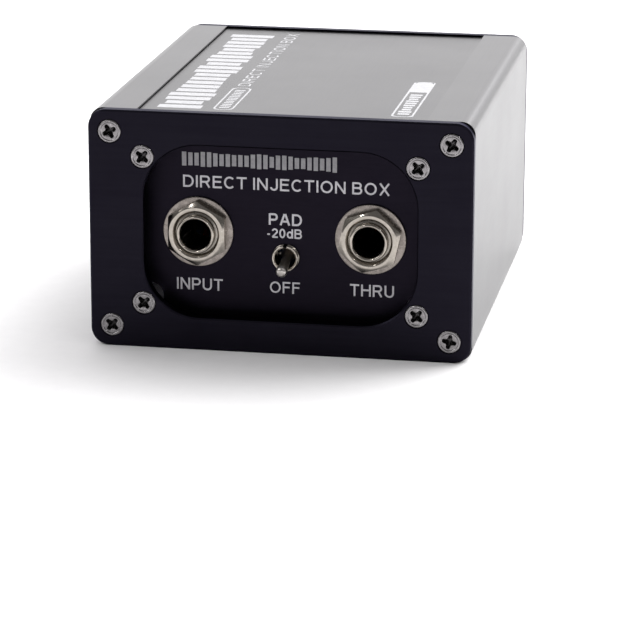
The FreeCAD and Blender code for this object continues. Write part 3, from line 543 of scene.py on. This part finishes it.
def toggle(prefix, body, facing):
    low, high = in_mm(prefix + "_bushing")
    x, z = centre_of(prefix + "_bushing").x, centre_of(prefix + "_bushing").z
    depth = high.y - low.y
    bm = bmesh.new()
    bore = TOGGLE_BORE_R
    profile = [(bore, depth - 0.1), (bore, 0.3), (2.4, 0.06), (2.55, 0.0), (2.8, 0.0), (2.98, 0.16)]
    y = 0.2
    while y < depth - 1.2:
        profile += [(3.0, y), (3.0, y + 0.08), (2.84, y + 0.2), (2.84, y + 0.24)]
        y += 0.35
    profile += [(2.9, depth - 0.62), (bore, depth - 0.62)]
    lathe(bm, profile, 0, 0, 180, keyed_radius(0.46, 2.46))
    block(bm, (-3.4, depth - 0.6, -6.5), (-2.2, depth, 6.5))
    block(bm, (2.2, depth - 0.6, -6.5), (3.4, depth, 6.5))
    block(bm, (-2.2, depth - 0.6, -6.5), (2.2, depth, -2.2))
    block(bm, (-2.2, depth - 0.6, 2.2), (2.2, depth, 6.5))
    mesh = tidy_mesh(bm, "bushing")
    mesh.transform(at(x, low.y if facing < 0 else high.y, z, 0, facing))
    piece(prefix + "_threaded_bushing", mesh, "nickel_plate", [prefix + "_bushing"])

    pivot = Vector([j for j in frame["joints"] if j["child"] == body][0]["pos_m"]) / MM
    bm = bmesh.new()
    tip = LEVER_TIP
    profile = [(0.0, tip), (0.55, tip + 0.02), (0.98, tip + 0.24), (1.24, tip + 0.62), (1.3, tip + 1.05),
               (1.28, tip + 1.7), (1.18, tip + 2.6), (1.05, tip + 3.4), (1.05, -3.2), (1.05, -2.4),
               (1.35, -1.4), (1.65, -0.6), (BALL_R, 0.0), (1.6, 0.6), (1.2, 1.2), (0.8, 1.6),
               (0.6, 3.2), (0.35, 3.6), (0.0, 3.6)]
    lathe(bm, soften(profile, 0.25, 3), 0, 0, 64)
    lever = tidy_mesh(bm, "lever")
    bm = bmesh.new()
    lathe(bm, soften([(0.0, -2.2), (0.7, -2.2), (0.7, 2.2), (0.0, 2.2)], 0.1, 2), 0, 0, 32)
    pin = tidy_mesh(bm, "pin")
    pin.transform(Matrix.Rotation(math.pi / 2, 4, "Z"))
    mesh = copies_of([lever, pin])
    mesh.transform(at(*pivot, 0, facing) @ Matrix.Rotation(math.radians(TOGGLE_LEAN), 4, "X"))
    piece(prefix + "_bat_lever", mesh, "nickel_plate", [prefix + "_lever"], body, lever_nickel)


# ---------------------------------------------------------------- printing
INK = 0.03
WEIGHT = 0.135          # stroke width for a capital of height 1
HALF = WEIGHT / 2
LINE_GAP = 0.27


def bow(cx, cy, rx, ry, start, stop, steps=12):
    angles = [math.radians(start + (stop - start) * k / steps) for k in range(steps + 1)]
    return [(cx + rx * math.cos(a), cy + ry * math.sin(a)) for a in angles]


def letter_shapes():
    """Plain capitals and figures as (width, strokes); a stroke is (points, closed)."""
    lo, hi, mid, h = HALF, 1 - HALF, 0.53, HALF

    def line(*points):
        return list(points), False

    def stem(x):
        return line((x, 0.0), (x, 1.0))

    def bar(x0, x1, y):
        return line((x0, y), (x1, y))

    def ring(w, cy, ry):
        return bow(w / 2, cy, w / 2 - h, ry - h, 0, 360, 28)[:-1], True

    def bowl(x, top, bottom, w):
        radius = (top - bottom) / 2
        return line((h, top), *bow(x, (top + bottom) / 2, w - x - h, radius, 90, -90, 12), (h, bottom))

    return {
        "A": (0.86, [line((0.07, 0.0), (0.40, 0.99)), line((0.79, 0.0), (0.46, 0.99)),
                     bar(0.2, 0.66, 0.33)]),
        "B": (0.74, [stem(h), bowl(0.42, hi, mid, 0.70), bowl(0.44, mid, lo, 0.74)]),
        "C": (0.78, [line(*bow(0.42, 0.5, 0.42 - h, 0.5 - h, 44, 316, 24))]),
        "D": (0.80, [([(h, lo), *bow(0.36, 0.5, 0.44 - h, 0.5 - h, -90, 90, 16), (h, hi)], True)]),
        "E": (0.68, [stem(h), bar(h, 0.68, hi), bar(h, 0.62, mid), bar(h, 0.68, lo)]),
        "F": (0.64, [stem(h), bar(h, 0.64, hi), bar(h, 0.58, mid)]),
        "G": (0.88, [line(*bow(0.42, 0.5, 0.42 - h, 0.5 - h, 46, 322, 24), (0.80, 0.45), (0.46, 0.45))]),
        "H": (0.78, [stem(h), stem(0.78 - h), bar(h, 0.78 - h, mid)]),
        "I": (WEIGHT, [stem(h)]),
        "J": (0.58, [line((0.58 - h, 1.0), *bow(0.29, 0.30, 0.29 - h, 0.30 - h, 0, -175, 12))]),
        "L": (0.60, [stem(h), bar(h, 0.60, lo)]),
        "M": (0.92, [stem(h), stem(0.92 - h), line((h, 0.97), (0.46, 0.06)),
                     line((0.92 - h, 0.97), (0.46, 0.06))]),
        "N": (0.78, [stem(h), stem(0.78 - h), line((h, 0.98), (0.78 - h, 0.02))]),
        "O": (0.90, [ring(0.90, 0.5, 0.5)]),
        "P": (0.72, [stem(h), bowl(0.44, hi, 0.45, 0.72)]),
        "R": (0.78, [stem(h), bowl(0.46, hi, 0.48, 0.74), line((0.44, 0.48), (0.70, 0.0))]),
        "T": (0.74, [stem(0.37), bar(0.0, 0.74, hi)]),
        "U": (0.76, [line((h, 1.0), *bow(0.38, 0.36, 0.38 - h, 0.36 - h, 180, 360, 14), (0.76 - h, 1.0))]),
        "V": (0.82, [line((0.06, 1.0), (0.39, 0.02)), line((0.76, 1.0), (0.43, 0.02))]),
        "X": (0.80, [line((0.07, 0.0), (0.73, 1.0)), line((0.73, 0.0), (0.07, 1.0))]),
        "0": (0.60, [ring(0.60, 0.5, 0.5)]),
        "1": (0.46, [stem(0.34), line((0.06, 0.74), (0.22, 0.79), (0.33, 0.95))]),
        "2": (0.60, [line(*bow(0.30, 0.69, 0.30 - h, 0.31 - h, 172, -25, 12),
                          (0.09, 0.12), (0.12, lo), (0.60, lo))]),
        "4": (0.64, [stem(0.46), line((0.44, 0.96), (0.06, 0.32)), bar(0.02, 0.64, 0.27)]),
        "8": (0.60, [ring(0.56, 0.745, 0.255), ring(0.60, 0.29, 0.29)]),
        "-": (0.34, [bar(0.03, 0.31, 0.36)]),
        "d": (0.62, [stem(0.62 - h), ring(0.60, 0.37, 0.37)]),
    }


LETTERS = letter_shapes()


def set_words(words, x0, x1, z0, z1):
    """The strokes of some words, fitted to a box, and the width of a stroke."""
    lines, widest = [], 0.0
    for text in words.split("\n"):
        pen, strokes = 0.0, []
        for letter in text:
            if letter == " ":
                pen += 0.32
                continue
            width, shapes = LETTERS[letter]
            strokes += [([(x + pen, y) for x, y in points], closed) for points, closed in shapes]
            pen += width + 0.17
        lines.append((pen - 0.17, strokes))
        widest = max(widest, pen - 0.17)
    rows = len(lines)
    unit_z = (z1 - z0) / (rows + (rows - 1) * LINE_GAP)
    unit_x = (x1 - x0) / widest
    placed = []
    for row, (width, strokes) in enumerate(lines):
        left = x0 + (widest - width) / 2 * unit_x
        base = z0 + (rows - 1 - row) * (1 + LINE_GAP) * unit_z
        placed += [([(left + x * unit_x, base + y * unit_z) for x, y in points], closed)
                   for points, closed in strokes]
    return placed, WEIGHT * unit_z


def ribbon(bm, points, closed, width, lift):
    """A flat printed line of even width along the points, facing -Y."""
    count, rings = len(points), []
    for i, point in enumerate(points):
        here = Vector(point)
        before = Vector(points[i - 1]) if closed or i else None
        after = Vector(points[(i + 1) % count]) if closed or i < count - 1 else None
        ways = [(b - a).normalized() for a, b in ((before, here), (here, after))
                if a is not None and b is not None]
        normals = [Vector((-w.y, w.x)) for w in ways]
        across = sum(normals, Vector((0, 0))).normalized()
        reach = width / 2 / max(0.5, across.dot(normals[0]))
        left, right = here + across * reach, here - across * reach
        front = -INK / 2 - lift
        rings.append([(left.x, front, left.y), (right.x, front, right.y), (right.x, INK / 2, right.y),
                      (left.x, INK / 2, left.y)])
    skin(bm, rings, closed)
    if not closed:
        bm.verts.ensure_lookup_table()
        first, last = len(bm.verts) - 4 * count, len(bm.verts) - 4
        bm.faces.new([bm.verts[first + k] for k in range(4)])
        bm.faces.new([bm.verts[last + k] for k in (3, 2, 1, 0)])


def words_mesh(words, box, heavy=1.0):
    strokes, width = set_words(words, *box)
    bm = bmesh.new()
    for k, (points, closed) in enumerate(strokes):
        ribbon(bm, points, closed, width * heavy, 0.0006 * (k % 5))
    mesh = bpy.data.meshes.new("words")
    bmesh.ops.recalc_face_normals(bm, faces=bm.faces)
    bm.to_mesh(mesh)
    bm.free()
    return mesh


def print_text(name, words, box, face, facing, heavy=1.0):
    mesh = words_mesh(words, box, heavy)
    mesh.transform(at(0, face, 0, 0, facing))
    # the output end's printing takes the darker painted-shade copy of the print ink
    piece(name, mesh, "panel_black", material=print_ink if facing < 0 else rear_ink_shaded, sharp=30)


def print_strokes(name, strokes, face, facing, material):
    """Filled bars, each (x0, z0, x1, z1), on a face as they are read."""
    bm = bmesh.new()
    for x0, z0, x1, z1 in strokes:
        block(bm, (min(x0, x1), -INK / 2, min(z0, z1)), (max(x0, x1), INK / 2, max(z0, z1)))
    mesh = tidy_mesh(bm, name)
    mesh.transform(at(0, face, 0, 0, facing))
    piece(name, mesh, "panel_black", material=material, sharp=30)


def level_bars(x0, x1, z0, z1, pitch, share):
    """A row of bars whose heights swell and fall like a sound level."""
    bars, count = [], int((x1 - x0) / pitch)
    middle, half = (z0 + z1) / 2, (z1 - z0) / 2
    for k in range(count):
        t = (k + 0.5) / count
        height = 0.68 + 0.32 * abs(math.sin(7.3 * t + 0.6) * math.cos(19.0 * t)) ** 0.6
        left = x0 + k * (x1 - x0) / count
        bars.append((left, middle - half * height, left + pitch * share, middle + half * height))
    return bars


def front_printing():
    face = in_mm("input_panel")[0].y
    print_strokes("front_level_motif", level_bars(-22.9, 12.1, 40.1, 43.5, 1.4, 0.7), face, -1, logo_ink)
    for name, words, box, heavy in (
            ("front_title_print", "DIRECT INJECTION BOX", (-22.7, 23.4, 35.45, 38.15), 1.13),
            ("pad_print", "PAD", (-3.45, 3.9, 27.7, 30.3), 1.25),
            ("pad_level_print", "-20dB", (-3.9, 3.9, 24.8, 26.9), 1.25),
            ("off_print", "OFF", (-3.25, 3.5, 12.2, 14.8), 1.05),
            ("input_print", "INPUT", (-24.3, -13.9, 12.0, 14.7), 1.1),
            ("thru_print", "THRU", (14.7, 24.5, 12.4, 15.1), 1.1)):
        print_text(name, words, box, face, -1, heavy)


def rear_printing():
    face = in_mm("output_panel")[1].y
    for name, words, box in (
            ("output_print", "MIC OUTPUT", (-21.7, 0.5, 39.4, 42.1)),
            ("lift_pin_print", "LIFT\nPIN1", (0.7, 7.0, 24.1, 29.0)),
            ("ground_print", "GND", (0.6, 7.05, 13.2, 15.4)),
            ("manual_print", "MANUAL", (11.3, 23.3, 24.2, 26.4)),
            ("lift_mode_print", "GROUND\nLIFT\nMODE", (18.0, 30.3, 30.2, 37.8)),
            ("phantom_lift_print", "48V\nLIFT\nPIN1", (11.1, 17.0, 8.3, 15.3))):
        print_text(name, words, box, face, 1, 0.9)
    w = 0.24
    print_strokes("mode_lead_lines", [
        (7.49, 20.43 - w, 9.07 + w, 20.43 + w), (9.06 - w, 20.43 - w, 9.06 + w, 24.68 + w),
        (9.06 - w, 24.68 - w, 11.16, 24.68 + w), (17.96, 19.8 - w, 24.6 + w, 19.8 + w),
        (24.6 - w, 19.8 - w, 24.6 + w, 29.31), (16.96, 13.77 - w, 20.31, 13.77 + w)], face, 1, rear_ink_shaded)


def cover_printing():
    """The cover's printing is read from the right-hand side: u runs to +Y and v to -X."""
    top = in_mm("top_cover_plate")[1].z
    start = -in_mm("input_bezel")[0].y

    def lay(name, mesh):
        turn = Matrix(((0, 0, -1, 0), (1, 0, 0, 0), (0, -1, 0, 0), (0, 0, 0, 1)))
        mesh.transform(Matrix.Translation((0, -start * MM, top * MM)) @ turn)
        piece(name, mesh, "cover_anodised", material=cover_ink, sharp=30)

    def strokes(name, bars):
        bm = bmesh.new()
        for x0, z0, x1, z1 in bars:
            block(bm, (x0, -INK / 2, z0), (x1, INK / 2, z1))
        lay(name, tidy_mesh(bm, name))

    def frame_outline(name, x0, x1, z0, z1, radius, width, fill_from=None):
        bm = bmesh.new()
        outer = soften([(x0, z0), (x1, z0), (x1, z1), (x0, z1)], radius, 8, closed=True)
        mid = Vector(((x0 + x1) / 2, (z0 + z1) / 2))
        shrink = Vector((1 - 2 * width / (x1 - x0), 1 - 2 * width / (z1 - z0)))
        inner = [mid + Vector(((p.x - mid.x) * shrink.x, (p.y - mid.y) * shrink.y)) for p in outer]
        loops = [(inner, INK / 2), (inner, -INK / 2), (outer, -INK / 2), (outer, INK / 2)]
        skin(bm, [[(p.x, y, p.y) for p in loop] for loop, y in loops], wrap=True)
        if fill_from is not None:
            block(bm, (fill_from, -INK / 2, z0 + width), (x1 - width, INK / 2, z1 - width))
        lay(name, tidy_mesh(bm, name))

    strokes("cover_level_motif", level_bars(7.0, 93.0, 18.4, 29.0, 4.3, 0.74))
    frame_outline("cover_capsule_outline", 6.7, 30.2, 11.7, 16.2, 2.0, 0.4)
    frame_outline("cover_badge_outline", 7.0, 44.0, -28.1, -23.2, 1.4, 0.45, 32.7)
    strokes("cover_capsule_bars", level_bars(8.6, 28.4, 12.7, 15.2, 1.6, 0.6))
    strokes("cover_badge_bars", level_bars(9.2, 31.2, -27.1, -24.2, 2.2, 0.7))

    lay("cover_title_print", words_mesh("DIRECT INJECTION BOX", (32.2, 95.0, 12.8, 15.7)))


# ---------------------------------------------------------------- indicator
DOME_R = 2.4


def indicator():
    low, high = in_mm("indicator_lens")
    x, z = centre_of("indicator_lens").x, centre_of("indicator_lens").z
    bm = bmesh.new()
    profile = [(0.0, 0.0)] + [(DOME_R * math.sin(a), DOME_R - DOME_R * math.cos(a)) for a in
                              [math.pi / 2 * k / 16 for k in range(1, 17)]]
    profile += [(DOME_R, 3.8), (2.9, 3.95), (2.9, 4.9), (0.0, 4.9)]
    lathe(bm, profile, 0, 0, 96)
    mesh = tidy_mesh(bm, "lens")
    mesh.transform(at(x, high.y, z, 0, 1))
    piece("indicator_dome", mesh, "clear_lens", ["indicator_lens"])
    bm = bmesh.new()
    cup = [(0.0, 3.4), (0.25, 3.4), (0.3, 3.3), (0.6, 2.9), (0.72, 2.85), (0.8, 2.95),
           (0.8, 4.4), (0.0, 4.4)]
    lathe(bm, soften(cup, 0.05, 2), 0, 0, 48)
    mesh = tidy_mesh(bm, "cup")
    mesh.transform(at(x, high.y, z, 0, 1))
    piece("indicator_reflector_cup", mesh, "tinned_terminal")


# ---------------------------------------------------------------- studio, in metres
WORLD_FRONT = 0.2           # the studio's brightness in front of the box and behind it
WORLD_BACK = 1.72
FLOOR_HALF = 3.0

def studio():
    bm = bmesh.new()
    ends = ((-1, -1), (1, -1), (1, 1), (-1, 1))
    corners = [bm.verts.new((x * FLOOR_HALF, y * FLOOR_HALF, 0.0)) for x, y in ends]
    bm.faces.new(corners)
    mesh = bpy.data.meshes.new("studio_floor")
    bm.to_mesh(mesh)
    bm.free()
    mesh.materials.append(surface("studio_paper", (0.90, 0.895, 0.90), (0.86, 0.855, 0.86), 0.0, 0.8,
                                  grain=1.0, grain_height=0.02, patch=0.01))
    floor = bpy.data.objects.new("studio_floor", mesh)
    scene.collection.objects.link(floor)

    world = bpy.data.worlds.new("studio")
    scene.world = world
    world.use_nodes = True
    tree = world.node_tree
    direction = tree.nodes.new("ShaderNodeTexCoord")
    split = tree.nodes.new("ShaderNodeSeparateXYZ")
    tree.links.new(direction.outputs["Generated"], split.inputs["Vector"])
    strength = remap(tree, split.outputs["Y"], WORLD_FRONT, WORLD_BACK, -0.5, 0.6)
    tree.links.new(strength, tree.nodes["Background"].inputs["Strength"])
    tree.nodes["Background"].inputs["Color"].default_value = (1.0, 0.99, 1.0, 1.0)

    def area(name, place, target, size, power):
        light = bpy.data.lights.new(name, "AREA")
        light.shape = "RECTANGLE"
        light.size, light.size_y = size
        light.energy = power
        obj = bpy.data.objects.new(name, light)
        scene.collection.objects.link(obj)
        obj.location = place
        obj.rotation_euler = (Vector(target) - Vector(place)).to_track_quat("-Z", "Y").to_euler()

    area("back_softbox", (0.7, 0.8, 0.9), (0.2, 0.15, 0.0), (1.5, 0.9), 33.0)
    area("left_softbox", (-0.9, -0.5, 0.8), (0.0, 0.0, 0.02), (0.5, 0.5), 2.8)
    area("glint_left", (-0.35, -0.75, 0.62), (0.0, -0.05, 0.03), (0.09, 0.05), 0.5)
    area("glint_right", (0.5, -0.6, 0.55), (0.0, -0.05, 0.03), (0.07, 0.05), 0.4)


CAMERA_PLACE = Vector((0.12341, -0.69833, 0.19903))
CAMERA_RIGHT = Vector((0.98463, 0.17463, 0.0028))
CAMERA_UP = Vector((-0.0513, 0.27384, 0.96041))
FOCAL_LENGTH = 175.67


def camera():
    data = bpy.data.cameras.new("camera")
    data.sensor_width = 36.0
    data.lens = FOCAL_LENGTH
    data.clip_start = 0.05
    data.clip_end = 20.0
    obj = bpy.data.objects.new("camera", data)
    scene.collection.objects.link(obj)
    back = CAMERA_RIGHT.cross(CAMERA_UP)
    columns = (CAMERA_RIGHT, CAMERA_UP, back, CAMERA_PLACE)
    rows = [tuple(column[i] for column in columns) for i in range(3)] + [(0, 0, 0, 1)]
    obj.matrix_world = Matrix(rows)
    scene.camera = obj


screw_sets()
jack("input_jack", 0)
jack("thru_jack", 47)
toggle("pad_switch", "pad_lever", -1)
toggle("ground_switch", "ground_lever", 1)
indicator()
front_printing()
rear_printing()
cover_printing()
studio()
camera()
scene.view_settings.view_transform = "Standard"
